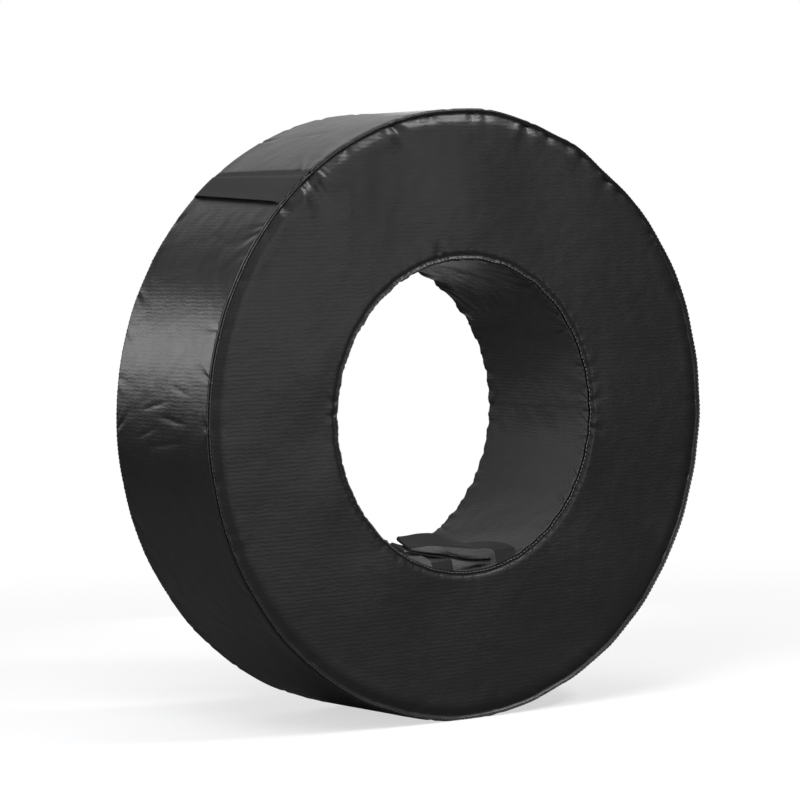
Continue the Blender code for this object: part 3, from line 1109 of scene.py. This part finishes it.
def make_cover(planks):
    """The four sewn panels over the foam. Returns the tread and the lining."""
    matte, gloss, thin = (vinyl(name, *looks) for name, looks in vinyl_looks.items())
    front = make_face("front_face_cover", True)
    back = make_face("back_face_cover", False)
    tread = make_tread()
    lining = make_lining()
    dress(front, matte, "wheel", "ribbed_vinyl", "front_face_panel")
    dress(back, matte, "wheel", "ribbed_vinyl", "back_face_panel")
    dress(tread, gloss, "wheel", "gloss_vinyl", "tread_panel")
    dress(lining, thin, "wheel", "lining_vinyl", "bore_lining")
    return tread, lining


def make_seams():
    """The stitches of the four seams."""
    dim_thread = thread("dim_thread", level=0.07)
    pale_thread = thread("pale_thread", level=0.20)
    for name, way, waves in (("front", -1, front_bore_ripple), ("back", 1, back_bore_ripple)):
        row = make_stitches(f"{name}_rim_stitches", rim_row, way, rim_lift)
        dress(row, dim_thread, "wheel", "gloss_vinyl")
        row = make_stitches(f"{name}_bore_stitches", bore_row, way, lambda angle: ripple(angle, *waves))
        dress(row, pale_thread, "wheel", "lining_vinyl")


def fit_closure():
    """The closure flap and its two tapes on the tread."""
    flap, loop, hook = make_closure()
    flap_weave = webbing("flap_weave", level=0.011, inner_roughness=0.85, rib_pitch=0.0022)
    hook_pile = pile("hook_pile_face", level=0.014, tuft_size=0.0016)
    loop_pile = pile("loop_pile_face", level=0.016, tuft_size=0.0009)
    dress(flap, flap_weave, "flap", "flap_webbing", "closure_flap")
    dress(hook, hook_pile, "flap", "closure_tape", "hook_tape")
    dress(loop, loop_pile, "wheel", "closure_tape", "loop_tape")


def fit_strap():
    """The folded strap in the bore."""
    strap, left, right = make_strap()
    strap_weave = webbing("strap_weave", level=0.008, inner_roughness=0.38, rib_pitch=0.0018)
    root_weave = webbing("root_weave", level=0.007, inner_roughness=0.85, rib_pitch=0.0018)
    dress(strap, strap_weave, "strap", "strap_webbing", "carry_strap")
    dress(left, root_weave, "wheel", "strap_webbing", "strap_end_left")
    dress(right, root_weave, "wheel", "strap_webbing", "strap_end_right")


def make_floor():
    """A pale floor that the camera sees as white, but for the wheel's soft shadow."""
    ground = bottom - layer_gap / 2
    ways = ((-1, -1), (1, -1), (1, 1), (-1, 1))
    corners = [(x * floor_reach, y * floor_reach, ground) for x, y in ways]
    floor = mesh_object("floor", corners, [(0, 1, 2, 3)])
    paint = Paint("floor_paint")
    place = paint.add("TexCoord").outputs["Object"]
    distance = paint.add("VectorMath", {0: place}, operation="LENGTH").outputs["Value"]
    falling = {"Value": distance, "From Min": shadow_end, "From Max": shadow_start}
    close = paint.add("MapRange", falling, interpolation_type="SMOOTHSTEP").outputs[0]
    shaded = paint.add("BsdfDiffuse", {"Color": paint.tint(close, grey(0.0), grey(floor_shade))})
    lit = paint.add("Emission", {"Strength": paint.between(close, 1.0, floor_glow)})
    seen = paint.add("AddShader", {0: shaded.outputs[0], 1: lit.outputs[0]})
    material = paint.finish(Base_Color=paint.tint(close, *map(grey, floor_greys)), Roughness=0.9)
    by_camera = paint.add("LightPath").outputs["Is Camera Ray"]
    mix = paint.add("MixShader", {"Fac": by_camera, 1: paint.shader.outputs[0], 2: seen.outputs[0]})
    paint.put(paint.tree.nodes["Material Output"].inputs["Surface"], mix.outputs[0])
    floor.data.materials.append(material)


def make_world():
    """A surround that the camera sees as white and that lights the wheel softly."""
    world = bpy.data.worlds.new("studio")
    world.use_nodes = True
    bpy.context.scene.world = world
    tree = world.node_tree
    rays = tree.nodes.new("ShaderNodeLightPath")
    strength = tree.nodes.new("ShaderNodeMapRange")
    strength.inputs["To Min"].default_value = surround_light
    background = tree.nodes["Background"]
    background.inputs["Color"].default_value = (1, 1, 1, 1)
    tree.links.new(rays.outputs["Is Camera Ray"], strength.inputs["Value"])
    tree.links.new(strength.outputs[0], background.inputs["Strength"])


def make_lamps():
    """Soft boxes: the key in front, above and to the left, and the ones that the gloss shows."""
    for name, (place, target, size, power) in lamps.items():
        lamp = bpy.data.lights.new(name, "AREA")
        lamp.shape = "RECTANGLE"
        lamp.size, lamp.size_y = size
        lamp.energy = power
        holder = bpy.data.objects.new(name, lamp)
        bpy.context.scene.collection.objects.link(holder)
        holder.location = place
        way = Vector(target) - Vector(place)
        holder.rotation_euler = way.to_track_quat("-Z", "Y").to_euler()
        holder.visible_camera = False


def make_camera():
    """The photograph's view."""
    data = bpy.data.cameras.new("camera")
    data.lens = focal_length
    data.sensor_width = sensor_width
    camera = bpy.data.objects.new("camera", data)
    bpy.context.scene.collection.objects.link(camera)
    yaw, pitch, roll = (
        Matrix.Rotation(math.radians(turn), 4, axis) for turn, axis in zip(camera_turns, "ZXY")
    )
    upright = Matrix.Rotation(math.pi / 2, 4, "X")
    camera.matrix_world = Matrix.Translation(camera_place) @ yaw @ pitch @ roll @ upright
    bpy.context.scene.camera = camera


make_camera()
tread_cover, lining_cover = make_cover(make_foam())
make_seams()
fit_closure()
fit_strap()
make_floor()
make_world()
make_lamps()
bpy.context.scene.view_settings.view_transform = "Standard"
bpy.context.view_layer.update()
